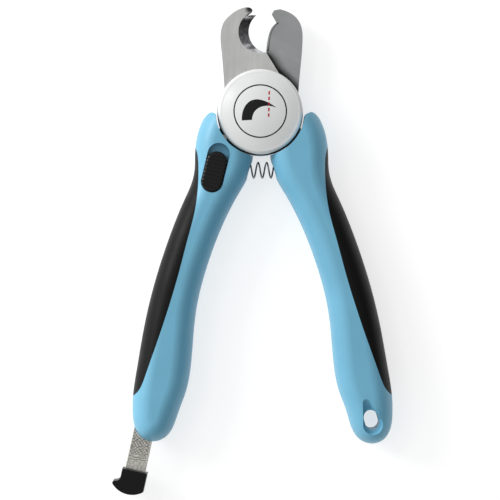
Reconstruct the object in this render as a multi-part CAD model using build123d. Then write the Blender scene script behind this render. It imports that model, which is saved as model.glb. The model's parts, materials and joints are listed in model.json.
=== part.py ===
from build123d import *
import math
import os

# Plier-type pet nail clipper, lying on its back. Millimetres, +X right, +Y towards the jaws, +Z up.
# The origin is on the pivot axis, in the plane that the clipper rests on.

# Thickness, from the resting plane up. The two blades shear on the plane where the handle shells part.
HANDLE_T = 18.0
SPLIT_Z = HANDLE_T / 2
BLADE_T = 3.0
SHEAR_GAP = 0.05
REAR_BLADE_Z = SPLIT_Z - SHEAR_GAP / 2 - BLADE_T
FRONT_BLADE_Z = SPLIT_Z + SHEAR_GAP / 2
REAR_BLADE_TOP = REAR_BLADE_Z + BLADE_T
FRONT_BLADE_TOP = FRONT_BLADE_Z + BLADE_T

# Hub
CAP_R = 15.6
CAP_WALL = 1.4
CAP_TOP_Z = 18.8
HUB_CUT_R = 16.4
BLADE_HUB_R = 14.6
BOLT_R = 4.0
BOLT_FLAT = 3.3
BOLT_RUNNING = 0.05
BOLT_LOW_Z = 1.9
BOLT_HEAD_R = 6.8
BOLT_HEAD_T = 2.6
BOLT_SOCKET_IN_R = 2.3
BOLT_SOCKET_DEPTH = 1.6
WASHER_R = 7.5
WASHER_T = 0.8
NUT_FLATS = 10.0
NUT_T = 2.9
PEG_R = 1.0
REAR_PEG_AT = 12.0
FRONT_PEG_AT = 10.2
SNUG = 0.02

# Hub covers: the front one is domed and hollow, the rear one is flat with a pocket for the nut.
CAP_LOW_Z = FRONT_BLADE_TOP + 0.25
CAP_SHOULDER_Z = 15.4
CAP_EDGE_R = 1.5
CAP_ROOF_Z = 15.6
CAP_COLLAR_R = 8.4
REAR_CAP_R = 15.9
REAR_CAP_TOP = REAR_BLADE_Z - 0.05
REAR_CAP_EDGE_R = 1.2
NUT_POCKET_R = 9.0
NUT_POCKET_Z = 1.4

# Travel: the right lever closes by CLOSE_DEG, between the stop pin and the ends of the hub's relief.
# The tooth that the lock holds is left between the lock's notch and the relief.
CLOSE_DEG = 20.0
RELIEF_R = 11.8
STOP_PIN_R = 1.2
STOP_PIN_AT = 13.3
TOOTH_END_DEG = 219.3
STOP_CLEAR_DEG = 0.25

# Handles: half outlines for the right side. The left side is the same with x changed in sign.
# Both plans are then moved and turned a little about the pivot.
HANDLE_SHIFT = 0.5
HANDLE_TURN = 0.2
HANDLE_OUTER = [
    (13.0, 8.0), (19.3, 1.2), (22.9, -5.6), (24.6, -14.5), (25.1, -23.0), (28.7, -32.4),
    (33.6, -44.3), (38.6, -59.0), (43.2, -76.8), (46.4, -94.5),
]
HANDLE_END_X = 40.3
HANDLE_END_R = 7.4
LEFT_END_Y = -114.1
RIGHT_END_Y = -115.2
HANDLE_END_TURN = 158.0
HANDLE_END_STEPS = 4
HANDLE_INNER = [
    (31.1, -110.8), (28.4, -103.5), (26.4, -93.5), (25.5, -83.0), (24.1, -71.5), (21.7, -61.5),
    (18.0, -50.2), (13.2, -38.8), (8.3, -29.7), (4.8, -23.3), (3.3, -17.2), (3.0, -10.0),
]
HANDLE_ROUND = 7.0
ROUND_STEPS = (0, 24, 46, 66, 90)
EDGE_SAMPLES = 48
HORN_TOP = [(10.0, 2.0), (15.4, -1.7), (18.7, -0.25), (21.3, -2.3), (30.0, 0.0)]

# Soft grips: the line between grip and shell, and the shell's tongue that the grip wraps round.
GRIP_LINE = [
    (26.5, -10.3), (24.2, -13.6), (23.3, -19.5), (23.5, -28.3), (24.5, -36.0), (27.2, -46.6),
    (30.9, -60.5), (33.9, -70.5), (38.4, -84.0), (42.9, -96.6), (45.4, -102.2), (50.0, -105.6),
]
GRIP_FAR_X = 70.0
GRIP_DEPTH = 3.0
TONGUE_Z = 3.5

# Blade tangs, in the handles
TANG_OUTER = [(13.9, -3.0), (20.0, -20.0), (25.6, -48.0)]
TANG_INNER = [(19.6, -48.0), (13.0, -25.0), (11.3, -19.0), (9.0, -11.0)]
TANG_PINS = [(19.9, -38.5), (21.9, -44.8)]
TANG_PIN_R = 1.25
TANG_PIN_Z = (3.5, 14.5)

# Screws, driven from the back
SCREWS_LEFT = [(-17.6, -32.6), (-30.2, -88.0), (-34.6, -107.0)]
SCREWS_RIGHT = [(17.6, -32.6), (32.8, -85.0), (35.4, -101.0)]
SCREW_R = 1.2
SCREW_HEAD_R = 2.4
SCREW_HEAD_Z = (2.4, 4.2)
SCREW_HEAD_EDGE_R = 0.7
SCREW_CROSS = (2.8, 0.6, 1.2)
SCREW_END_Z = 14.0
SCREW_CLEAR = 0.25

# Return spring, lying along X between the handles
SPRING_Y = -21.4
SPRING_COIL_R = 2.85
SPRING_WIRE_R = 0.38
SPRING_HALF = 10.4
SPRING_TURNS = 6.7
SPRING_POCKET_R = 3.5

# Lock slider: it slides along an axis leaning towards the hub
LOCK_TILT = 13.7
LOCK_MID = (-16.45, -20.75)
LOCK_SLOT = (8.2, 18.5)
LOCK_FLOOR_Z = 14.6
LOCK_BUTTON = (7.7, 15.2)
LOCK_TRAVEL = 3.1
LOCK_BUTTON_TOP = 18.5
LOCK_BUTTON_EDGE_R = 0.9
LOCK_END_GAP = 0.1
LOCK_REST = LOCK_END_GAP - (LOCK_SLOT[1] - LOCK_BUTTON[1]) / 2
LOCK_RIDGES = 8
LOCK_RIDGE_MARGIN = 2.0
LOCK_POST = (2.6, 6.0)
LOCK_BAR_Z = (9.3, 11.7)
LOCK_BAR_W = 3.0
LOCK_BAR_END = (-5.65, 12.7)
LOCK_NOTCH_GAP = 0.15
LOCK_CHANNEL_GAP = 0.3

# Leaf springs: one beside the lock's bar, and one under the nail file
LEAF_T = 0.3
DETENT_HALF = 5.0
DETENT_BOW = 0.7
DETENT_FROM_BAR = 1.25
FILE_SPRING_U = 104.0
FILE_SPRING_HALF = 7.0
FILE_SPRING_RISE = 1.1
FILE_SPRING_W = 4.0
FILE_SPRING_DROP = 1.5

# Nail file: an axis down the left handle, leaving at its end
FILE_TILT = 12.5
FILE_AXIS_V = -16.45
FILE_W = 7.6
FILE_T = 1.2
FILE_START_U = 76.5
FILE_CAP_U = 139.2
FILE_CAP_W = 9.4
FILE_CAP_T = 8.6
FILE_CAP_EDGE_R = 0.4
FILE_CAP_SIDE = 7.0
FILE_CAP_END = [(8.9, 0.6), (6.4, -7.0)]
FILE_CAP_LIP = [(5.6, -7.2), (5.0, -6.6)]
FILE_CAP_BACK = [(4.3, -5.2), (2.9, -4.7)]
FILE_SEAT_TRAVEL = 11.6
FILE_TANG = 6.0
FILE_TANG_W = 4.6
FILE_CORNER = 1.5
FILE_GAP = 0.15
FILE_CHANNEL_END_U = 160.0

# Hanging hole
HOLE_AT = (40.9, -113.3)
HOLE_SIZE = (5.2, 7.3)
HOLE_TILT = 17.0
# The dish round it is a drop: two circles, each by its radius and its place along the drop.
DISH_RIM = ((4.1, -2.4), (1.5, 7.2))
DISH_FLOOR = ((3.1, -1.4), (0.9, 3.4))
DISH_DEPTH = 3.0

# Jaws
FRONT_JAW = [
    (-13.2, 3.0), (-13.5, 14.0), (-14.2, 22.0), (-14.4, 30.2), (-13.3, 33.3), (-11.0, 35.8),
    (-8.2, 37.7), (-5.2, 38.6), (-3.6, 38.4), (-2.8, 37.6),
]
FRONT_JAW_TIP = [
    (-3.0, 36.8), (-4.7, 35.5), (-3.1, 35.9), (3.0, 36.0), (4.0, 25.0), (2.2, 22.0), (7.6, 13.2),
]
CRESCENT_EDGE = (3.6, 29.8, 7.85)
CRESCENT_FACE = (0.0, 29.6, 8.0)
REAR_JAW_BACK = [
    (14.2, 2.5), (14.2, 8.0), (14.9, 16.0), (15.7, 26.0),
    (15.4, 31.2), (13.4, 35.1), (10.4, 37.2), (7.2, 38.2),
]
REAR_JAW_TIP = [(7.2, 38.2), (5.2, 37.8), (4.3, 36.4), (6.2, 33.2)]
REAR_JAW_EDGE = [(6.2, 33.2), (4.2, 31.2), (3.0, 27.9), (2.3, 22.7), (2.2, 17.0)]
REAR_BEVEL = 0.9
REAR_BEVEL_DEPTH = 0.3


def signed(points, side):
    return [(side * x, y) for x, y in points]


def handle_points(points, side):
    """Plan points of one handle, moved and turned about the pivot with it."""
    cos, sin = math.cos(math.radians(HANDLE_TURN)), math.sin(math.radians(HANDLE_TURN))
    turned = [(x * cos - y * sin, x * sin + y * cos) for x, y in signed(points, side)]
    return [(x + HANDLE_SHIFT, y) for x, y in turned]


def slab(face, low, high):
    """A plan face, made solid between two heights."""
    return extrude(Pos(0, 0, low) * face, high - low, dir=(0, 0, 1))


def closed(*edges):
    return Face(Wire(edges))


def polygon(points):
    return Face(Wire.make_polygon(points, close=True))


def peg(x, y, r, low, high):
    return Pos(x, y, low) * Cylinder(r, high - low, align=(Align.CENTER, Align.CENTER, Align.MIN))


def polar(r, deg):
    return r * math.cos(math.radians(deg)), r * math.sin(math.radians(deg))


def sector(inner_r, outer_r, start_deg, end_deg):
    """A plan face between two radii and two angles about the pivot."""
    mid = (start_deg + end_deg) / 2
    outer = ThreePointArc(polar(outer_r, start_deg), polar(outer_r, mid), polar(outer_r, end_deg))
    inner = ThreePointArc(polar(inner_r, end_deg), polar(inner_r, mid), polar(inner_r, start_deg))
    return closed(outer, Line(outer @ 1, inner @ 0), inner, Line(inner @ 1, outer @ 0))


def ring_of_pegs(count, at_r, r, low, high, first_deg):
    return [peg(*polar(at_r, first_deg + 360 * i / count), r, low, high) for i in range(count)]


# ---- handles ----


def handle_edge(side):
    """Outer edge, round end and inner edge of a handle in one smooth line."""
    end_y = LEFT_END_Y if side < 0 else RIGHT_END_Y
    turns = [-HANDLE_END_TURN * i / HANDLE_END_STEPS for i in range(HANDLE_END_STEPS + 1)]
    end = [(HANDLE_END_X + x, end_y + y) for x, y in (polar(HANDLE_END_R, turn) for turn in turns)]
    return Spline(handle_points(HANDLE_OUTER + end + HANDLE_INNER, side))


def outline(side, inset=0.0):
    """The handle's plan, drawn in from its edge by inset and closed across the hub."""
    edge = handle_edge(side)
    points = []
    for i in range(EDGE_SAMPLES + 1):
        at, along = edge @ (i / EDGE_SAMPLES), edge % (i / EDGE_SAMPLES)
        points.append((at.X + side * inset * along.Y, at.Y - side * inset * along.X))
    line = Spline(points)
    return closed(line, Line(line @ 1, line @ 0))


def blank(side):
    """The handle as one rounded body, before it is split into shells and grip."""
    turns = [-turn for turn in reversed(ROUND_STEPS[1:])] + list(ROUND_STEPS)
    sections = []
    for turn in turns:
        angle = math.radians(turn)
        height = SPLIT_Z + SPLIT_Z * math.sin(angle)
        sections.append(Pos(0, 0, height) * outline(side, HANDLE_ROUND * (1 - math.cos(angle))))
    body = loft(sections)
    body = body - peg(0, 0, HUB_CUT_R, -1, HANDLE_T + 1)
    top = Spline(handle_points(HORN_TOP, side))
    cap = Polyline(top @ 1, (side * 30, 30), (side * 10, 30), top @ 0)
    return body - slab(closed(top, *cap.edges()), -1, HANDLE_T + 1)


def grip_region(side):
    line = Spline(handle_points(GRIP_LINE, side))
    start, end = line @ 0, line @ 1
    far = Polyline(end, (side * GRIP_FAR_X, end.Y), (side * GRIP_FAR_X, start.Y), start)
    return slab(closed(line, *far.edges()), -1, HANDLE_T + 1)


def tongue(side):
    core = slab(outline(side), TONGUE_Z, HANDLE_T - TONGUE_Z)
    return Pos(-side * GRIP_DEPTH, 0, 0) * core


def grip(side):
    return (blank(side) & grip_region(side)) - tongue(side)


def tang_face(side):
    return polygon(signed(TANG_OUTER + TANG_INNER, side))


def spring_pocket():
    bar = Cylinder(SPRING_POCKET_R, 2 * SPRING_HALF + 0.4, rotation=(0, 90, 0))
    return Pos(0, SPRING_Y, SPLIT_Z) * bar


def screw_holes(places):
    """Clearance and head recess below the split, pilot hole above it."""
    cuts = []
    for x, y in places:
        cuts.append(peg(x, y, SCREW_R + SCREW_CLEAR, -1, SPLIT_Z))
        cuts.append(peg(x, y, SCREW_HEAD_R + 0.3, -1, SCREW_HEAD_Z[1]))
        cuts.append(peg(x, y, SCREW_R + SNUG, SPLIT_Z, SCREW_END_Z + 0.5))
    return cuts


def screws(places):
    made = []
    for x, y in places:
        head = peg(x, y, SCREW_HEAD_R, *SCREW_HEAD_Z)
        head = fillet(head.edges().group_by(Axis.Z)[0], SCREW_HEAD_EDGE_R)
        bar = Box(*SCREW_CROSS)
        cross = Pos(x, y, SCREW_HEAD_Z[0]) * (bar + Rot(0, 0, 90) * bar)
        made.append(head - cross + peg(x, y, SCREW_R, SCREW_HEAD_Z[1], SCREW_END_Z))
    return Compound(children=made)


def tang_pins(side):
    return Compound(children=[peg(side * x, y, TANG_PIN_R, *TANG_PIN_Z) for x, y in TANG_PINS])


def pin_holes(side, low=TANG_PIN_Z[0], high=TANG_PIN_Z[1]):
    return [peg(side * x, y, TANG_PIN_R + SNUG, low, high) for x, y in TANG_PINS]


def drop(circles):
    """A drop-shaped plan face round two circles on the Y axis."""
    return make_hull([Pos(0, y) * Edge.make_circle(r) for r, y in circles])


def hanging_hole():
    place = Pos(*HOLE_AT, 0) * Rot(0, 0, HOLE_TILT)
    through = place * slab(SlotOverall(HOLE_SIZE[1], HOLE_SIZE[0], rotation=90).face(), -1, HANDLE_T + 1)
    cuts = [through]
    for face_z, down in ((HANDLE_T, -1), (0, 1)):
        rim = Pos(0, 0, face_z - down * 0.5) * drop(DISH_RIM)
        floor = Pos(0, 0, face_z + down * DISH_DEPTH) * drop(DISH_FLOOR)
        cuts.append(place * loft([rim, floor] if down > 0 else [floor, rim]))
    return cuts


def lock_place(along=0.0):
    """The lock's own frame: +Y slides towards the hub."""
    return Pos(*LOCK_MID, 0) * Rot(0, 0, -LOCK_TILT) * Pos(0, along, 0)


def obround(width, length):
    return SlotOverall(length, width, rotation=90).face()


def lock_bar_box(wider, tip, high):
    """A box along the bar's line, from the bar's back end to tip."""
    back = LOCK_BAR_END[0] - wider
    size = (LOCK_BAR_W + 2 * wider, tip - back, high - LOCK_BAR_Z[0])
    return lock_place() * Pos(0, back, LOCK_BAR_Z[0]) * Box(*size, align=(Align.CENTER, Align.MIN, Align.MIN))


def lock_bolt():
    """A straight bar. Its end enters the notch in the front blade's hub."""
    x, y, _ = (lock_place(LOCK_REST) * Pos(0, 0, 0)).position
    bar = lock_bar_box(0, LOCK_BAR_END[1], LOCK_BAR_Z[1])
    return bar - peg(x, y, PEG_R + SNUG, LOCK_BAR_Z[0] - 1, LOCK_BAR_Z[1] + 1)


def lock_notch():
    """Notch in the hub, a little longer and wider than the bar at the end of its travel."""
    tip = LOCK_BAR_END[1] + LOCK_TRAVEL + LOCK_CHANNEL_GAP
    notch = Rectangle(LOCK_BAR_W + 2 * LOCK_NOTCH_GAP, tip, align=(Align.CENTER, Align.MIN))
    return lock_place() * slab(notch.face(), 0, HANDLE_T)


def lock_button():
    place = lock_place(LOCK_REST)
    low = LOCK_FLOOR_Z + 0.1
    body = slab(obround(*LOCK_BUTTON), low, LOCK_BUTTON_TOP)
    body = fillet(body.edges().group_by(Axis.Z)[-1], LOCK_BUTTON_EDGE_R)
    pitch = (LOCK_BUTTON[1] - 2 * LOCK_RIDGE_MARGIN) / LOCK_RIDGES
    for i in range(LOCK_RIDGES + 1):
        y = (i - LOCK_RIDGES / 2) * pitch
        body = body - Pos(0, y, LOCK_BUTTON_TOP) * Box(LOCK_BUTTON[0] + 1, pitch * 0.42, 1.0)
    post = slab(obround(*LOCK_POST), LOCK_BAR_Z[1], low)
    stem = peg(0, 0, PEG_R, LOCK_BAR_Z[0] + 0.3, LOCK_BAR_Z[1])
    return place * (body + post + stem)


def lock_cuts():
    """Recess for the button, slot for its post, and the channel that the bar slides in."""
    recess = lock_place() * slab(obround(*LOCK_SLOT), LOCK_FLOOR_Z, HANDLE_T + 1)
    slot_size = (LOCK_POST[0] + 0.4, LOCK_POST[1] + LOCK_TRAVEL + 0.6)
    slot = lock_place(LOCK_REST + LOCK_TRAVEL / 2) * slab(obround(*slot_size), SPLIT_Z, LOCK_FLOOR_Z)
    tip = LOCK_BAR_END[1] + LOCK_TRAVEL + LOCK_CHANNEL_GAP
    channel = lock_bar_box(LOCK_CHANNEL_GAP, tip, LOCK_BAR_Z[1] + LOCK_CHANNEL_GAP)
    return [recess, slot, channel, Pos(0, 0, -LOCK_CHANNEL_GAP) * channel]


def detent_spring():
    """A bowed leaf beside the bar, in a pocket of the front shell."""
    half, bow = DETENT_HALF, DETENT_BOW
    inner = ThreePointArc((-half, 0), (0, bow), (half, 0))
    outer = ThreePointArc((half, LEAF_T), (0, bow + LEAF_T), (-half, LEAF_T))
    leaf = closed(inner, Line(inner @ 1, outer @ 0), outer, Line(outer @ 1, inner @ 0))
    leaf = slab(leaf, LOCK_BAR_Z[0] + 0.2, LOCK_BAR_Z[1] - 0.2)
    return lock_place(LOCK_REST) * Pos(LOCK_BAR_W / 2 + DETENT_FROM_BAR, 0.5, 0) * Rot(0, 0, 90) * leaf


def detent_pocket():
    size = (1.6, 2 * DETENT_HALF + 1, LOCK_BAR_Z[1] + LOCK_CHANNEL_GAP - SPLIT_Z)
    box = Box(*size, align=(Align.CENTER, Align.CENTER, Align.MIN))
    return lock_place(LOCK_REST) * Pos(LOCK_BAR_W / 2 + 0.8, 0.5, SPLIT_Z) * box


# ---- nail file ----


def file_place(u, v=FILE_AXIS_V, z=SPLIT_Z):
    """The file's frame: +X runs out along its axis, +Y across it, measured from the pivot."""
    return Rot(0, 0, -(90 + FILE_TILT)) * Pos(u, v, z)


def file_channel():
    start = FILE_START_U - FILE_SEAT_TRAVEL - 1.0
    length = FILE_CHANNEL_END_U - start
    return file_place(start + length / 2) * Box(length, FILE_W + 2 * FILE_GAP, FILE_T + 2 * FILE_GAP)


def nail_file():
    """Flat blade with its inner corners cut off, and a narrow tang that the end cap holds."""
    length = FILE_CAP_U - FILE_START_U
    blade = file_place(FILE_START_U + length / 2) * Box(length, FILE_W, FILE_T)
    blade = chamfer(blade.edges().filter_by(Axis.Z).sort_by(Axis.Y)[-2:], FILE_CORNER)
    return blade + file_place(FILE_CAP_U + FILE_TANG / 2) * Box(FILE_TANG, FILE_TANG_W, FILE_T)


def file_cap():
    """End cap with a curved end and a lip at its outer side for a fingernail."""
    half = FILE_CAP_W / 2
    near = Line((0, half), (FILE_CAP_SIDE, half))
    end = ThreePointArc(near @ 1, *FILE_CAP_END)
    lip = ThreePointArc(end @ 1, *FILE_CAP_LIP)
    back = ThreePointArc(lip @ 1, *FILE_CAP_BACK)
    body = closed(near, end, lip, back, Line(back @ 1, (0, -half)), Line((0, -half), (0, half)))
    body = Pos(0, 0, -FILE_CAP_T / 2) * extrude(body, FILE_CAP_T, dir=(0, 0, 1))
    body = fillet(body.faces().filter_by(Axis.Z).edges(), FILE_CAP_EDGE_R)
    socket = Pos(FILE_TANG / 2, 0, 0) * Box(FILE_TANG, FILE_TANG_W + 2 * SNUG, FILE_T + 2 * SNUG)
    return file_place(FILE_CAP_U) * (body - socket)


def file_spring():
    """Leaf under the file, in the back shell, that keeps the file from sliding out."""
    half, rise = FILE_SPRING_HALF, FILE_SPRING_RISE
    low = SPLIT_Z - FILE_T / 2 - FILE_SPRING_DROP
    top = ThreePointArc((-half, low + LEAF_T), (0, low + LEAF_T + rise), (half, low + LEAF_T))
    under = ThreePointArc((half, low), (0, low + rise), (-half, low))
    face = closed(top, Line(top @ 1, under @ 0), under, Line(under @ 1, top @ 0))
    strip = extrude(Plane.XZ * face, FILE_SPRING_W, dir=(0, 1, 0))
    return file_place(FILE_SPRING_U, z=0) * Pos(0, -FILE_SPRING_W / 2, 0) * strip


def file_spring_pocket():
    low = SPLIT_Z - FILE_T / 2 - FILE_SPRING_DROP
    size = (2 * FILE_SPRING_HALF + 0.6, FILE_SPRING_W + 0.4, FILE_SPRING_DROP + 0.1)
    return file_place(FILE_SPRING_U, z=low) * Box(*size, align=(Align.CENTER, Align.CENTER, Align.MIN))


# ---- shells ----


def left_cuts():
    tang = slab(tang_face(-1), REAR_BLADE_Z, SPLIT_Z)
    file_cuts = [file_channel(), file_spring_pocket()]
    return [tang, *screw_holes(SCREWS_LEFT), *file_cuts, *lock_cuts(), detent_pocket()]


def right_cuts():
    tang = slab(tang_face(1), SPLIT_Z, FRONT_BLADE_TOP)
    return [tang, *screw_holes(SCREWS_RIGHT), *hanging_hole()]


def shells(side):
    """The front and back shells of one handle."""
    body = blank(side) - grip(side)
    cuts = left_cuts() if side < 0 else right_cuts()
    for cut in [*cuts, spring_pocket(), *pin_holes(side)]:
        body = body - cut
    plane = Plane.XY.offset(SPLIT_Z)
    return split(body, plane, keep=Keep.TOP), split(body, plane, keep=Keep.BOTTOM)


# ---- hub and blades ----


def stop_angles():
    """Where the stop pin stands, and where the front hub's relief round it ends."""
    pin_half = math.degrees(math.asin(STOP_PIN_R / STOP_PIN_AT))
    pin_deg = TOOTH_END_DEG + pin_half + STOP_CLEAR_DEG
    return pin_deg, pin_deg + pin_half + CLOSE_DEG + STOP_CLEAR_DEG


def stop_relief():
    return slab(sector(RELIEF_R, BLADE_HUB_R + 2, TOOTH_END_DEG, stop_angles()[1]), 0, HANDLE_T)


def stop_pin():
    x, y = polar(STOP_PIN_AT, stop_angles()[0])
    return peg(x, y, STOP_PIN_R, REAR_BLADE_Z + 0.1, FRONT_BLADE_TOP - 0.1)


def rear_blade():
    back = Spline(REAR_JAW_BACK)
    tip = Polyline(*REAR_JAW_TIP)
    edge = Spline(REAR_JAW_EDGE)
    root = Polyline(edge @ 1, (0, 0), back @ 0)
    jaw = slab(closed(back, *tip.edges(), edge, *root.edges()), REAR_BLADE_Z, REAR_BLADE_TOP)
    body = jaw + peg(0, 0, BLADE_HUB_R, REAR_BLADE_Z, REAR_BLADE_TOP)
    body = body + slab(tang_face(-1), REAR_BLADE_Z, REAR_BLADE_TOP)
    body = body - rear_bevel()
    cuts = [peg(0, 0, BOLT_R + BOLT_RUNNING, 0, HANDLE_T)]
    cuts += ring_of_pegs(3, REAR_PEG_AT, PEG_R + SNUG, 0, REAR_BLADE_TOP + 1, 30)
    cuts += [peg(*polar(STOP_PIN_AT, stop_angles()[0]), STOP_PIN_R + SNUG, 0, HANDLE_T)]
    cuts += pin_holes(-1, 0, HANDLE_T)
    cuts += [peg(*SCREWS_LEFT[0], SCREW_R + SCREW_CLEAR, 0, HANDLE_T)]
    for cut in cuts:
        body = body - cut
    return body


def rear_bevel():
    """Narrow ground band along the rear jaw's cutting edge, on the front face."""
    shifted = [(x + REAR_BEVEL, y) for x, y in REAR_JAW_EDGE[:-1]]
    low = Spline([(x - 3, y) for x, y in REAR_JAW_EDGE[:-1]])
    high = Spline(shifted)
    face = closed(low, Line(low @ 1, high @ 1), high, Line(high @ 0, low @ 0))
    return slab(face, REAR_BLADE_TOP - REAR_BEVEL_DEPTH, REAR_BLADE_TOP + 1)


def front_blade():
    side = Spline(FRONT_JAW)
    tip = Polyline(side @ 1, *FRONT_JAW_TIP, (0, 0), side @ 0)
    jaw = slab(closed(side, *tip.edges()), FRONT_BLADE_Z, FRONT_BLADE_TOP)
    body = jaw + peg(0, 0, BLADE_HUB_R, FRONT_BLADE_Z, FRONT_BLADE_TOP)
    body = body + slab(tang_face(1), FRONT_BLADE_Z, FRONT_BLADE_TOP)
    cuts = [crescent(), bolt_neck(SNUG), lock_notch(), stop_relief()]
    cuts += ring_of_pegs(3, FRONT_PEG_AT, PEG_R + SNUG, 0, HANDLE_T, 90)
    cuts += pin_holes(1, 0, HANDLE_T)
    cuts += [peg(*SCREWS_RIGHT[0], SCREW_R + SCREW_CLEAR, 0, HANDLE_T)]
    for cut in cuts:
        body = body - cut
    return body


def crescent():
    """The ground hollow of the front jaw: a leaning cone, so the bevel is a crescent."""
    rings = []
    edge_x, edge_y, edge_r = CRESCENT_EDGE
    face_x, face_y, face_r = CRESCENT_FACE
    for step in (-0.5, 1.5):
        x = edge_x + (face_x - edge_x) * step
        y = edge_y + (face_y - edge_y) * step
        r = edge_r + (face_r - edge_r) * step
        rings.append(Pos(x, y, FRONT_BLADE_Z + BLADE_T * step) * Circle(r).face())
    return loft(rings)


def bolt_neck(clear=0.0):
    """Shank with two flats, which keys the bolt to the front blade."""
    neck = peg(0, 0, BOLT_R + clear, FRONT_BLADE_Z, FRONT_BLADE_TOP + WASHER_T + 2 * SNUG)
    return neck & (Pos(0, 0, HANDLE_T / 2) * Box(2 * (BOLT_FLAT + clear), 4 * BOLT_R, 2 * HANDLE_T))


def pivot_bolt():
    head_z = FRONT_BLADE_TOP + WASHER_T + 2 * SNUG
    head_top = head_z + BOLT_HEAD_T
    head = peg(0, 0, BOLT_HEAD_R, head_z, head_top)
    head = fillet(head.edges().group_by(Axis.Z)[-1], 0.8)
    hexagon = RegularPolygon(BOLT_SOCKET_IN_R, 6, major_radius=False)
    socket = Pos(0, 0, head_top - BOLT_SOCKET_DEPTH) * extrude(hexagon, BOLT_HEAD_T)
    shank = peg(0, 0, BOLT_R, BOLT_LOW_Z, FRONT_BLADE_Z)
    return head - socket + bolt_neck() + shank


def washer(low):
    return peg(0, 0, WASHER_R, low, low + WASHER_T) - peg(0, 0, BOLT_R + 0.1, low - 1, low + 2)


def pivot_nut():
    top = REAR_BLADE_Z - SNUG - WASHER_T
    nut = Pos(0, 0, top - NUT_T) * extrude(RegularPolygon(NUT_FLATS / 2, 6, major_radius=False), NUT_T)
    return nut - peg(0, 0, BOLT_R + SNUG, 0, HANDLE_T)


def cap_section():
    """Half section of the front cover's outside: wall, rounded rim and a dome centred on the axis."""
    flat_r, rise = CAP_R - CAP_EDGE_R, CAP_TOP_Z - CAP_SHOULDER_Z - CAP_EDGE_R
    dome_r = (flat_r**2 + rise**2) / (2 * rise)
    corner = CAP_EDGE_R * math.sqrt(0.5)
    wall = Line((0, CAP_LOW_Z), (CAP_R, CAP_LOW_Z))
    side = Line(wall @ 1, (CAP_R, CAP_SHOULDER_Z))
    rim_top = (flat_r, CAP_SHOULDER_Z + CAP_EDGE_R)
    rim = ThreePointArc(side @ 1, (flat_r + corner, CAP_SHOULDER_Z + corner), rim_top)
    half_way = (flat_r / 2, CAP_TOP_Z - dome_r + math.sqrt(dome_r**2 - (flat_r / 2) ** 2))
    dome = ThreePointArc(rim @ 1, half_way, (0, CAP_TOP_Z))
    return closed(wall, side, rim, dome, Line(dome @ 1, wall @ 0))


def front_cap():
    """Domed cover, hollow, with a collar round the bolt's head and pegs into the blade."""
    washer_top = FRONT_BLADE_TOP + WASHER_T + 0.1
    body = revolve(Plane.XZ * cap_section(), Axis.Z)
    body = body - (peg(0, 0, CAP_R - CAP_WALL, 0, CAP_ROOF_Z) - peg(0, 0, CAP_COLLAR_R, 0, HANDLE_T))
    body = body - peg(0, 0, WASHER_R + 0.15, 0, washer_top)
    body = body - peg(0, 0, BOLT_HEAD_R + SNUG, 0, CAP_ROOF_Z)
    for one in ring_of_pegs(3, FRONT_PEG_AT, PEG_R, FRONT_BLADE_Z + 0.3, CAP_ROOF_Z + 0.2, 90):
        body = body + one
    return body


def rear_cap():
    """Flat cover over the nut. Its flat face is what the clipper rests on."""
    body = peg(0, 0, REAR_CAP_R, 0, REAR_CAP_TOP)
    body = fillet(body.edges().group_by(Axis.Z)[0], REAR_CAP_EDGE_R)
    body = body - peg(0, 0, NUT_POCKET_R, NUT_POCKET_Z, REAR_CAP_TOP + 1)
    for one in ring_of_pegs(3, REAR_PEG_AT, PEG_R, REAR_CAP_TOP - 1, REAR_BLADE_TOP - 0.4, 30):
        body = body + one
    return body


def return_spring():
    """Round coil between the bottoms of the two pockets."""
    pitch = 2 * SPRING_HALF / SPRING_TURNS
    path = Helix(pitch, 2 * SPRING_HALF - 2 * SPRING_WIRE_R, SPRING_COIL_R)
    start = path @ 0
    section = Plane(start, z_dir=path % 0) * Circle(SPRING_WIRE_R)
    coil = sweep(section, path=path)
    half = SPRING_HALF - SPRING_WIRE_R
    return Pos(0, SPRING_Y, SPLIT_Z) * Rot(0, 90, 0) * Pos(0, 0, -half) * coil


def build():
    left_front, left_back = shells(-1)
    right_front, right_back = shells(1)
    return {
        "front_blade": front_blade(),
        "rear_blade": rear_blade(),
        "pivot_bolt": pivot_bolt(),
        "pivot_nut": pivot_nut(),
        "front_washer": washer(FRONT_BLADE_TOP + SNUG),
        "rear_washer": washer(REAR_BLADE_Z - SNUG - WASHER_T),
        "front_cap": front_cap(),
        "rear_cap": rear_cap(),
        "stop_pin": stop_pin(),
        "left_handle_front": left_front,
        "left_handle_back": left_back,
        "right_handle_front": right_front,
        "right_handle_back": right_back,
        "left_grip": grip(-1),
        "right_grip": grip(1),
        "left_handle_screws": screws(SCREWS_LEFT),
        "right_handle_screws": screws(SCREWS_RIGHT),
        "left_tang_pins": tang_pins(-1),
        "right_tang_pins": tang_pins(1),
        "lock_button": lock_button(),
        "lock_bolt": lock_bolt(),
        "lock_detent_spring": detent_spring(),
        "return_spring": return_spring(),
        "nail_file": nail_file(),
        "file_cap": file_cap(),
        "file_spring": file_spring(),
    }


os.makedirs("parts", exist_ok=True)
for name, shape in build().items():
    export_step(shape, f"parts/{name}.step")
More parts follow.
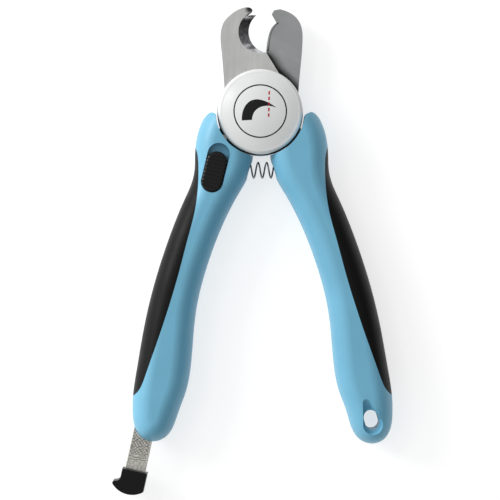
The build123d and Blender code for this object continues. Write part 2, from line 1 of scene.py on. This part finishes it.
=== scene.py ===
import bmesh
import bpy
import json
import math
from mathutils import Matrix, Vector


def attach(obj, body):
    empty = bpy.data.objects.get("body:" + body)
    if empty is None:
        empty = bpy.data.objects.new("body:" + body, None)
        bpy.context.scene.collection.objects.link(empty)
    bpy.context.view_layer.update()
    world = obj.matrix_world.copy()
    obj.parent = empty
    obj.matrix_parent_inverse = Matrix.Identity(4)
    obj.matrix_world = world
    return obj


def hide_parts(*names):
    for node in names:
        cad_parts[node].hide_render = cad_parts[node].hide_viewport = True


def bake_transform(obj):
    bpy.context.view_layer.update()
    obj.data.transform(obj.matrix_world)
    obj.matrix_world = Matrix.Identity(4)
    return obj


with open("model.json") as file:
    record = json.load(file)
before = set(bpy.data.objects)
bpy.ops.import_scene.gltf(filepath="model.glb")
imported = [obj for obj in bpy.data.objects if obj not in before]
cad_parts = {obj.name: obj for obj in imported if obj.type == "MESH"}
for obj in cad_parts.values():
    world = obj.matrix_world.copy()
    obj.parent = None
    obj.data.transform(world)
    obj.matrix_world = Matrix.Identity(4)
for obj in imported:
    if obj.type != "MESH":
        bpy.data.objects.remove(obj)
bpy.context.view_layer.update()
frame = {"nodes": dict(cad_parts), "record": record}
nodes = frame["nodes"]

# Lengths below are in millimetres, in the CAD model's frame, whose Z axis is the hub's axis.
MM = 0.001
SPLIT_Z = 9.0
FILE_TILT = math.radians(12.5)
SPRING_Y = -21.4
JAW_TIP = (-3.7, 38.1)
CRESCENT_CENTRE = (0.0, 29.6)
CRESCENT_R = 8.0


# ---- materials ----


def new_material(name, colour, roughness, metallic=0.0):
    """A material with a Principled shader. Its constant values sit on the shader's own sockets."""
    material = bpy.data.materials.new(name)
    material.use_nodes = True
    material.node_tree.nodes.clear()
    shader = add(material, "ShaderNodeBsdfPrincipled", (0, 0))
    output = add(material, "ShaderNodeOutputMaterial", (300, 0))
    material.node_tree.links.new(shader.outputs["BSDF"], output.inputs["Surface"])
    shader.inputs["Base Color"].default_value = (*colour, 1)
    shader.inputs["Roughness"].default_value = roughness
    shader.inputs["Metallic"].default_value = metallic
    return material, shader


def add(material, kind, place=(0, 0)):
    node = material.node_tree.nodes.new(kind)
    node.location = place
    return node


def join(material, output, socket):
    material.node_tree.links.new(output, socket)


def shader_of(material):
    return next(node for node in material.node_tree.nodes if node.type == "BSDF_PRINCIPLED")


def source_of(shader, name):
    """The output that is linked to one of the shader's sockets."""
    return shader.inputs[name].links[0].from_socket


def coordinates(material, scale=(1, 1, 1), turn=0.0):
    """Object coordinates, turned about Z and then stretched."""
    place = add(material, "ShaderNodeTexCoord", (-1300, 0))
    turned = add(material, "ShaderNodeMapping", (-1100, 0))
    turned.inputs["Rotation"].default_value = (0, 0, turn)
    join(material, place.outputs["Object"], turned.inputs["Vector"])
    mapping = add(material, "ShaderNodeMapping", (-900, 0))
    mapping.inputs["Scale"].default_value = scale
    join(material, turned.outputs["Vector"], mapping.inputs["Vector"])
    return mapping.outputs["Vector"]


def noise(material, vector, scale, detail=4.0, roughness=0.55):
    node = add(material, "ShaderNodeTexNoise", (-650, 0))
    node.inputs["Scale"].default_value = scale
    node.inputs["Detail"].default_value = detail
    node.inputs["Roughness"].default_value = roughness
    join(material, vector, node.inputs["Vector"])
    return node.outputs["Fac"]


def ramp(material, value, stops):
    """A colour ramp. stops are (place, colour) pairs, and a colour may be one grey number."""
    node = add(material, "ShaderNodeValToRGB", (-400, 0))
    elements = node.color_ramp.elements
    while len(elements) < len(stops):
        elements.new(0.5)
    for element, (place, colour) in zip(elements, stops):
        grey = isinstance(colour, (int, float))
        element.position = place
        element.color = (colour, colour, colour, 1) if grey else (*colour, 1)
    join(material, value, node.inputs["Fac"])
    return node.outputs["Color"]


def bump(material, shader, height, strength, distance):
    node = add(material, "ShaderNodeBump", (-200, -300))
    node.inputs["Strength"].default_value = strength
    node.inputs["Distance"].default_value = distance
    join(material, height, node.inputs["Height"])
    join(material, node.outputs["Normal"], shader.inputs["Normal"])


def shaded(colour, factor):
    return tuple(channel * factor for channel in colour)


def moulded_plastic(
    name, colour, roughness, grain=2600, grain_depth=0.000012, coat=0.0, specular=0.5
):
    """Satin moulded plastic: faint mottling, varied gloss and the fine grain of a sparked mould."""
    material, shader = new_material(name, colour, roughness)
    where = coordinates(material)
    mottle = noise(material, where, 55, 3)
    tone = ramp(material, mottle, [(0.3, shaded(colour, 0.95)), (0.7, shaded(colour, 1.04))])
    join(material, tone, shader.inputs["Base Color"])
    patches = noise(material, where, 140, 5)
    gloss = ramp(material, patches, [(0.3, roughness - 0.05), (0.7, roughness + 0.06)])
    join(material, gloss, shader.inputs["Roughness"])
    bump(material, shader, noise(material, where, grain, 2), 0.35, grain_depth)
    shader.inputs["Specular IOR Level"].default_value = specular
    shader.inputs["Coat Weight"].default_value = coat
    shader.inputs["Coat Roughness"].default_value = 0.25
    return material


def brushed_steel(name, colour, roughness, turn=0.0, streak=(1500, 60, 200), contrast=0.1):
    """Steel with fine parallel grinding marks along one direction, and a few duller patches."""
    material, shader = new_material(name, colour, roughness, 1.0)
    where = coordinates(material, streak, turn)
    marks = noise(material, where, 1.0, 5, 0.7)
    stain = noise(material, coordinates(material), 60, 4)
    line = ramp(material, marks, [(0.32, 1 - contrast), (0.68, 1.0)])
    patch = ramp(material, stain, [(0.35, shaded(colour, 0.9)), (0.65, shaded(colour, 1.03))])
    join(material, multiplied(material, patch, line), shader.inputs["Base Color"])
    gloss = ramp(material, marks, [(0.3, roughness - 0.08), (0.7, roughness + 0.1)])
    join(material, gloss, shader.inputs["Roughness"])
    bump(material, shader, marks, 0.3, 0.00002)
    return material


def multiplied(material, first, second):
    node = add(material, "ShaderNodeMix", (-250, 300))
    node.data_type = "RGBA"
    node.blend_type = "MULTIPLY"
    node.inputs["Factor"].default_value = 1
    join(material, first, node.inputs["A"])
    join(material, second, node.inputs["B"])
    return node.outputs["Result"]


def plate_mask(material, centre, low, high):
    """1 within low millimetres of a line along Z, falling to 0 at high."""
    place = add(material, "ShaderNodeTexCoord", (-1500, 400))
    flat = add(material, "ShaderNodeVectorMath", (-1300, 400))
    flat.operation = "MULTIPLY"
    flat.inputs[1].default_value = (1, 1, 0)
    join(material, place.outputs["Object"], flat.inputs[0])
    away = add(material, "ShaderNodeVectorMath", (-1100, 400))
    away.operation = "DISTANCE"
    away.inputs[1].default_value = (centre[0] * MM, centre[1] * MM, 0)
    join(material, flat.outputs["Vector"], away.inputs[0])
    step = add(material, "ShaderNodeMapRange", (-900, 400))
    step.inputs["From Min"].default_value = low * MM
    step.inputs["From Max"].default_value = high * MM
    step.inputs["To Min"].default_value = 1
    step.inputs["To Max"].default_value = 0
    join(material, away.outputs["Value"], step.inputs["Value"])
    return step.outputs["Result"]


def mix_colour(material, factor, first, second):
    """A mix of two outputs, from first to second."""
    node = add(material, "ShaderNodeMix", (-250, 300))
    node.data_type = "RGBA"
    join(material, factor, node.inputs["Factor"])
    join(material, first, node.inputs["A"])
    join(material, second, node.inputs["B"])
    return node.outputs["Result"]


def darkened(material, factor):
    """Multiplies the shader's linked base colour by an output."""
    shader = shader_of(material)
    plain = source_of(shader, "Base Color")
    join(material, multiplied(material, plain, factor), shader.inputs["Base Color"])


def contact_shade(material, reach, low, high, darkest):
    """Paints shade into the base colour from ambient occlusion, close beside a step or in a gap,
    wherever the levers stand.
    """
    near = add(material, "ShaderNodeAmbientOcclusion", (-700, 600))
    near.samples = 16
    near.inputs["Distance"].default_value = reach * MM
    darkened(material, ramp(material, near.outputs["AO"], [(low, darkest), (high, 1.0)]))


def rear_blade_steel():
    grinding = math.radians(118)
    colour = (0.40, 0.405, 0.41)
    material = brushed_steel("rear_blade_steel", colour, 0.5, grinding, (500, 30, 100), 0.12)
    # Painted shade: ambient occlusion darkens the rear blade beside the front plate's edge and round
    # the cap.
    contact_shade(material, 5.0, 0.62, 0.93, 0.06)
    return material


def front_blade_steel():
    """Bright brushed plate, whose ground crescent is polished steel, with a painted dark reflection on
    its tip.
    """
    grinding = math.radians(8)
    colour = (0.63, 0.635, 0.62)
    material = brushed_steel("front_blade_steel", colour, 0.42, grinding, contrast=0.08)
    shader = shader_of(material)
    mask = plate_mask(material, CRESCENT_CENTRE, CRESCENT_R - 0.05, CRESCENT_R + 0.05)
    plain = source_of(shader, "Base Color")
    rough = source_of(shader, "Roughness")
    streaks = noise(material, coordinates(material, (900, 900, 120)), 1.0, 3)
    polished = ramp(material, streaks, [(0.35, (0.26, 0.26, 0.275)), (0.7, (0.62, 0.62, 0.64))])
    join(material, mix_colour(material, mask, plain, polished), shader.inputs["Base Color"])
    smooth = ramp(material, mask, [(0.0, 1.0), (1.0, 0.34)])
    multiply = add(material, "ShaderNodeMath", (-200, 100))
    multiply.operation = "MULTIPLY"
    join(material, rough, multiply.inputs[0])
    join(material, smooth, multiply.inputs[1])
    join(material, multiply.outputs["Value"], shader.inputs["Roughness"])
    # Painted dark reflection: the base colour falls to near black within about 2 mm of the jaw's tip.
    tip = plate_mask(material, JAW_TIP, 0.9, 2.2)
    darkened(material, ramp(material, tip, [(0.0, 1.0), (1.0, 0.08)]))
    # Painted shade in the deep gaps beside the cap and the handles.
    contact_shade(material, 5.0, 0.2, 0.45, 0.08)
    return material


def file_finish():
    """Ground steel that is dark in the grooves of the cut."""
    material, shader = new_material("file_steel", (0.7, 0.7, 0.66), 0.34, 1.0)
    cut = add(material, "ShaderNodeAttribute", (-900, 300))
    cut.attribute_name = "cut"
    fine = noise(material, coordinates(material), 1500, 3)
    groove, top = (0.10, 0.10, 0.09), (0.74, 0.73, 0.69)
    shade = ramp(material, cut.outputs["Fac"], [(0.05, groove), (0.5, top)])
    speck = ramp(material, fine, [(0.35, (0.62, 0.61, 0.58)), (0.65, (1.0, 1.0, 0.98))])
    join(material, multiplied(material, shade, speck), shader.inputs["Base Color"])
    join(material, ramp(material, fine, [(0.3, 0.28), (0.7, 0.44)]), shader.inputs["Roughness"])
    bump(material, shader, fine, 0.2, 0.00001)
    return material


BLUE = (0.160, 0.430, 0.600)
BLACK = (0.0028, 0.0028, 0.0032)
GRIP_BLACK = (0.0028, 0.0028, 0.003)
PRINT_BLACK = (0.006, 0.006, 0.006)
PRINT_RED = (0.50, 0.035, 0.05)
materials = {
    "handle_blue": moulded_plastic("handle_blue", BLUE, 0.42, coat=0.05, specular=0.35),
    "rear_cap_plastic": moulded_plastic("rear_cap_plastic", BLUE, 0.42, coat=0.05, specular=0.35),
    "grip_black": moulded_plastic("grip_black", GRIP_BLACK, 0.46, 1500, 0.00003, specular=0.15),
    "lock_black": moulded_plastic("lock_black", BLACK, 0.3, specular=0.28),
    "file_cap_black": moulded_plastic("file_cap_black", BLACK, 0.38, specular=0.2),
    "cap_white": moulded_plastic(
        "cap_white", (0.76, 0.77, 0.765), 0.22, 900, 0.000004, coat=0.4
    ),
    "file_steel": file_finish(),
    "spring_steel": brushed_steel("spring_steel", (0.18, 0.18, 0.19), 0.3),
    "bolt_steel": brushed_steel("bolt_steel", (0.58, 0.58, 0.58), 0.3),
    "pin_steel": brushed_steel("pin_steel", (0.58, 0.58, 0.58), 0.3),
    "screw_steel": brushed_steel("screw_steel", (0.5, 0.5, 0.51), 0.28),
}
# Painted shade in the handles' crevices, such as the gap round the cap.
contact_shade(materials["handle_blue"], 3.0, 0.08, 0.42, 0.1)
# Painted shade that blackens the rear cap's rim in the gap under the handles.
contact_shade(materials["rear_cap_plastic"], 6.0, 0.3, 0.8, 0.03)
own_materials = {"front_blade": front_blade_steel(), "rear_blade": rear_blade_steel()}
extra = {
    "print_black": moulded_plastic("print_black", PRINT_BLACK, 0.35, 2000, 0.000002, specular=0.2),
    "print_red": moulded_plastic("print_red", PRINT_RED, 0.35, 2000, 0.000002, specular=0.3),
}


def paint_cad_nodes():
    """Each CAD node takes the material of its slot in the record, and some take a finer one."""
    for subpart in frame["record"]["subparts"]:
        name = subpart["node"]
        piece = nodes[name]
        piece.data.materials.clear()
        piece.data.materials.append(own_materials.get(name) or materials[subpart["material_slot"]])


# ---- pieces ----


def new_piece(name, verts, faces):
    """A smooth-shaded mesh from points in millimetres."""
    mesh = bpy.data.meshes.new(name)
    mesh.from_pydata([(x * MM, y * MM, z * MM) for x, y, z in verts], [], faces)
    mesh.update()
    piece = bpy.data.objects.new(name, mesh)
    bpy.context.scene.collection.objects.link(piece)
    for polygon in mesh.polygons:
        polygon.use_smooth = True
    return piece


def grid_faces(rows, columns, close_rows=False, close_columns=False):
    """Quads of a grid of points, rows by columns."""
    faces = []
    for i in range(rows if close_rows else rows - 1):
        for j in range(columns if close_columns else columns - 1):
            a, b = i, (i + 1) % rows
            c, d = j, (j + 1) % columns
            faces.append((a * columns + c, b * columns + c, b * columns + d, a * columns + d))
    return faces


CAP_TOP_Z = 18.8
CAP_FLAT_R = 14.1
CAP_RISE = 1.9
DOME_R = (CAP_FLAT_R**2 + CAP_RISE**2) / (2 * CAP_RISE)
PRINT_T = 0.015
BADGE_TILT = math.radians(10)


def on_dome(x, y):
    """Height of a thin print on the cap's dome."""
    drop = DOME_R - math.sqrt(DOME_R**2 - x * x - y * y)
    return min(CAP_TOP_Z - drop + PRINT_T, CAP_TOP_Z - 0.0001)


def printed(name, place, steps, material, across=5):
    """A printed strip: place(along, across) gives plan points, both from 0 to 1."""
    verts = []
    for i in range(steps + 1):
        for j in range(across + 1):
            x, y = place(i / steps, j / across)
            turned_x = x * math.cos(BADGE_TILT) - y * math.sin(BADGE_TILT)
            turned_y = x * math.sin(BADGE_TILT) + y * math.cos(BADGE_TILT)
            verts.append((turned_x, turned_y, on_dome(turned_x, turned_y)))
    piece = new_piece(name, verts, grid_faces(steps + 1, across + 1))
    piece.data.materials.append(material)
    face_up(piece)
    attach(piece, "right_lever")
    return piece


def face_up(piece):
    """Turns a flat strip's faces towards +Z."""
    work = bmesh.new()
    work.from_mesh(piece.data)
    for face in work.faces:
        face.normal_update()
        if face.normal.z < 0:
            face.normal_flip()
    work.to_mesh(piece.data)
    work.free()


RING_R = 9.6
RING_HALF = 0.24

# The claw lies between two arcs, each with a centre, radii and the angles that it runs between.
CLAW_OUTER = ((-0.9, -3.4), (6.4, 8.2), (172, 50))
CLAW_INNER = ((1.5, -4.2), (5.2, 6.2), (166, 56))
CLAW_TIP = (6.1, 0.2)

DASHES = 5
DASH_TOP = 6.6
DASH_PITCH = 2.0
DASH_LENGTH = 1.25
DASH_WIDTH = 0.62


def arc_point(arc, along):
    centre, radii, (first, last) = arc
    turn = math.radians(first + (last - first) * along)
    return centre[0] + radii[0] * math.cos(turn), centre[1] + radii[1] * math.sin(turn)


def between(a, b, share):
    return tuple(p + (q - p) * share for p, q in zip(a, b))


def badge():
    """A plain ring, a claw seen from the side, and a dashed line where it would be trimmed."""

    def ring(along, across):
        r = RING_R - RING_HALF + 2 * RING_HALF * across
        return r * math.cos(2 * math.pi * along), r * math.sin(2 * math.pi * along)

    def claw(along, across):
        inner = between(arc_point(CLAW_INNER, along), CLAW_TIP, along**3)
        outer = between(arc_point(CLAW_OUTER, along), CLAW_TIP, along**6)
        return between(inner, outer, across)

    printed("badge_ring", ring, 144, extra["print_black"], 2)
    printed("badge_claw", claw, 48, extra["print_black"], 8)
    for i in range(DASHES):
        high = DASH_TOP - i * DASH_PITCH

        def dash(along, across, high=high):
            y = high - DASH_LENGTH * along
            return 3.2 + 0.2 * y + DASH_WIDTH * (across - 0.5), y

        printed(f"badge_dash_{i + 1}", dash, 6, extra["print_red"], 2)


# ---- return spring ----

SPRING_COIL_R = 2.85
SPRING_WIRE_R = 0.31
SPRING_HALF = 10.4
SPRING_TURNS = 6.7
SPRING_CLOSE_TURNS = 1.6
SPRING_CLOSED = 0.16
SPRING_CLOSE_RATE = 0.35


def spring_x(t):
    """How far along its axis the wire is, with the first and last turns wound close."""
    half = SPRING_HALF - SPRING_WIRE_R
    slow, ends = SPRING_CLOSE_RATE, SPRING_CLOSED
    middle_rate = (1 - 2 * ends * slow) / (1 - 2 * ends)
    if t < ends:
        s = t * slow
    elif t > 1 - ends:
        s = 1 - (1 - t) * slow
    else:
        s = ends * slow + (t - ends) * middle_rate
    return -half + 2 * half * s


def return_spring():
    """A round coil of drawn wire."""
    turns, per_turn, sides = SPRING_TURNS + SPRING_CLOSE_TURNS, 40, 12
    count = int(turns * per_turn)

    def centre(i):
        angle = 2 * math.pi * i / per_turn + 0.6
        y = SPRING_Y + SPRING_COIL_R * math.cos(angle)
        z = SPLIT_Z + SPRING_COIL_R * math.sin(angle)
        return Vector((spring_x(i / count), y, z))

    verts = []
    for i in range(count + 1):
        here = centre(i)
        along = (centre(min(i + 1, count)) - centre(max(i - 1, 0))).normalized()
        outward = (here - Vector((here.x, SPRING_Y, SPLIT_Z))).normalized()
        side = along.cross(outward).normalized()
        for j in range(sides):
            turn = 2 * math.pi * j / sides
            verts.append(here + SPRING_WIRE_R * (math.cos(turn) * outward + math.sin(turn) * side))
    faces = grid_faces(count + 1, sides, close_columns=True)
    faces.append(tuple(range(sides)))
    faces.append(tuple(reversed(range(count * sides, (count + 1) * sides))))
    piece = new_piece("return_spring_coil", verts, faces)
    outward_faces(piece)
    piece.data.materials.append(materials["spring_steel"])
    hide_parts("return_spring")
    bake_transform(piece)


def outward_faces(piece):
    work = bmesh.new()
    work.from_mesh(piece.data)
    bmesh.ops.recalc_face_normals(work, faces=work.faces)
    work.to_mesh(piece.data)
    work.free()


# ---- nail file ----

FILE_AXIS_V = -16.45
FILE_W = 7.6
FILE_T = 1.2
FILE_START_U = 76.5
FILE_CAP_U = 139.2
FILE_TANG = 6.0
FILE_ROWS = 520
FILE_COLUMNS = 56
TANG_HALF = 2.3
CUT_PITCH = 0.95
CUT_DEPTH = 0.13


def file_point(u, v, z):
    """The file's frame, with u out along its axis from the pivot and v across it."""
    turn = -(math.pi / 2 + FILE_TILT)
    across = FILE_AXIS_V + v
    x = u * math.cos(turn) - across * math.sin(turn)
    y = u * math.sin(turn) + across * math.cos(turn)
    return x, y, z


def ridge(x):
    """A saw of height 1 with a rounded groove, once each unit of x."""
    return abs(2 * (x - math.floor(x)) - 1) ** 0.7


def ease(x, low, high):
    x = min(max((x - low) / (high - low), 0), 1)
    return x * x * (3 - 2 * x)


def cut_height(u, v):
    """Relief of the file's face, from 0 in a groove to 1.

    Out along the file it is diamonds, then straight grooves, then a smooth band.
    """
    wander = 0.12 * math.sin(1.9 * u + 0.7 * v) + 0.1 * math.sin(2.3 * v - 0.6 * u)
    one = ridge((u * 0.82 + v * 0.62 + wander) / CUT_PITCH)
    other = ridge((u * 0.82 - v * 0.62 - wander) / CUT_PITCH)
    diamonds = min(one, other)
    straight = ridge((u + 0.05 * v + wander) / CUT_PITCH)
    to_straight = ease(u, 132.5, 134.5)
    to_smooth = max(ease(u, 135.6, 137.0), 1 - ease(u, 78.5, 79.5))
    edge = ease(abs(v), FILE_W / 2 - 0.5, FILE_W / 2 - 0.25)
    cut = diamonds + (straight - diamonds) * to_straight
    return cut + (1 - cut) * max(to_smooth, edge)


def nail_file():
    """The file's blade with its relief cut on both faces, and its tang in the end cap."""
    rows, columns = FILE_ROWS, FILE_COLUMNS
    length = FILE_CAP_U - FILE_START_U
    verts, heights = [], []
    for face in (1, -1):
        for i in range(rows):
            u = FILE_START_U + length * i / (rows - 1)
            half = FILE_W / 2 - max(0, 1.5 - (u - FILE_START_U))
            for j in range(columns):
                v = half * (2 * j / (columns - 1) - 1)
                height = cut_height(u, v)
                rounded = 0.12 * ease(abs(v) / half, 0.95, 1.0)
                half_t = FILE_T / 2 - CUT_DEPTH * (1 - height) - rounded
                verts.append(file_point(u, v, SPLIT_Z + face * half_t))
                heights.append(height)
    faces = grid_faces(rows, columns)
    size = rows * columns
    faces += [tuple(size + k for k in reversed(face)) for face in faces]
    rim = [j for j in range(columns)] + [i * columns + columns - 1 for i in range(1, rows)]
    rim += [(rows - 1) * columns + j for j in reversed(range(columns - 1))]
    rim += [i * columns for i in reversed(range(1, rows - 1))]
    for k, a in enumerate(rim):
        b = rim[(k + 1) % len(rim)]
        faces.append((a, b, size + b, size + a))
    tang = len(verts)
    for z in (-FILE_T / 2, FILE_T / 2):
        plan = ((-0.5, -TANG_HALF), (FILE_TANG, -TANG_HALF), (FILE_TANG, TANG_HALF), (-0.5, TANG_HALF))
        for u, v in plan:
            verts.append(file_point(FILE_CAP_U + u, v, SPLIT_Z + z * 0.98))
            heights.append(1.0)
    ends = ((3, 2, 1, 0), (4, 5, 6, 7))
    sides = ((0, 1, 5, 4), (1, 2, 6, 5), (2, 3, 7, 6), (3, 0, 4, 7))
    for corners in ends + sides:
        faces.append(tuple(tang + k for k in corners))
    piece = new_piece("nail_file_cut", verts, faces)
    outward_faces(piece)
    cut = piece.data.attributes.new("cut", "FLOAT", "POINT")
    cut.data.foreach_set("value", heights)
    piece.data.materials.append(materials["file_steel"])
    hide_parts("nail_file")
    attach(piece, "file")


# ---- stage, light and camera ----


FLOOR_HALF = 1.5
FLOOR_DROP = 0.0002
FLOOR_GREY = (0.5, 0.5, 0.5)
FLOOR_GLOW = 0.66


def floor():
    """A pale floor just under the clipper, which gives off a little light of its own."""
    mesh = bpy.data.meshes.new("floor")
    half = FLOOR_HALF
    corners = [(-half, -half, 0), (half, -half, 0), (half, half, 0), (-half, half, 0)]
    mesh.from_pydata(corners, [], [(0, 1, 2, 3)])
    piece = bpy.data.objects.new("floor", mesh)
    bpy.context.scene.collection.objects.link(piece)
    piece.location.z = -FLOOR_DROP
    material, shader = new_material("floor_white", FLOOR_GREY, 0.9)
    shader.inputs["Emission Color"].default_value = (1, 1, 1, 1)
    shader.inputs["Emission Strength"].default_value = FLOOR_GLOW
    mesh.materials.append(material)


def soft_light(name, place, aim, size, power):
    """A square area light. Its place, aim and size are in metres, and its power in watts."""
    data = bpy.data.lights.new(name, "AREA")
    data.shape = "SQUARE"
    data.size = size
    data.energy = power
    lamp = bpy.data.objects.new(name, data)
    bpy.context.scene.collection.objects.link(lamp)
    lamp.location = place
    lamp.rotation_euler = (Vector(aim) - Vector(place)).to_track_quat("-Z", "Y").to_euler()


BRIGHT_SIDE = (-0.85, 0.45, 0.25)
TENT_STRENGTH = 1.0


def studio_world():
    """A white tent round the object, brighter on one side than on the other."""
    world = bpy.data.worlds.new("studio")
    bpy.context.scene.world = world
    world.use_nodes = True
    background = world.node_tree.nodes["Background"]
    background.inputs["Color"].default_value = (1, 1, 1, 1)
    place = add(world, "ShaderNodeTexCoord", (-900, 0))
    towards = add(world, "ShaderNodeVectorMath", (-700, 0))
    towards.operation = "DOT_PRODUCT"
    towards.inputs[1].default_value = Vector(BRIGHT_SIDE).normalized()
    join(world, place.outputs["Generated"], towards.inputs[0])
    level = add(world, "ShaderNodeMapRange", (-500, 0))
    level.inputs["From Min"].default_value = -1
    level.inputs["To Min"].default_value = 0.0
    level.inputs["To Max"].default_value = TENT_STRENGTH
    join(world, towards.outputs["Value"], level.inputs["Value"])
    join(world, level.outputs["Result"], background.inputs["Strength"])


def studio():
    studio_world()
    soft_light("key", (-0.86, 0.44, 0.46), (0, -0.05, 0), 0.5, 7.6)
    soft_light("high", (-0.46, 0.26, 0.84), (0, -0.03, 0), 0.2, 0.5)
    bpy.context.scene.view_settings.view_transform = "Standard"


VIEW_WIDTH = 185.0 * MM
VIEW_CENTRE = (-3.74 * MM, -50.9 * MM)
CAMERA_HEIGHT = 0.9


def camera():
    data = bpy.data.cameras.new("camera")
    data.sensor_width = 36.0
    data.lens = data.sensor_width * CAMERA_HEIGHT / VIEW_WIDTH
    view = bpy.data.objects.new("camera", data)
    bpy.context.scene.collection.objects.link(view)
    view.location = (*VIEW_CENTRE, CAMERA_HEIGHT + SPLIT_Z * MM)
    bpy.context.scene.camera = view


camera()
floor()
studio()
paint_cad_nodes()
badge()
return_spring()
nail_file()
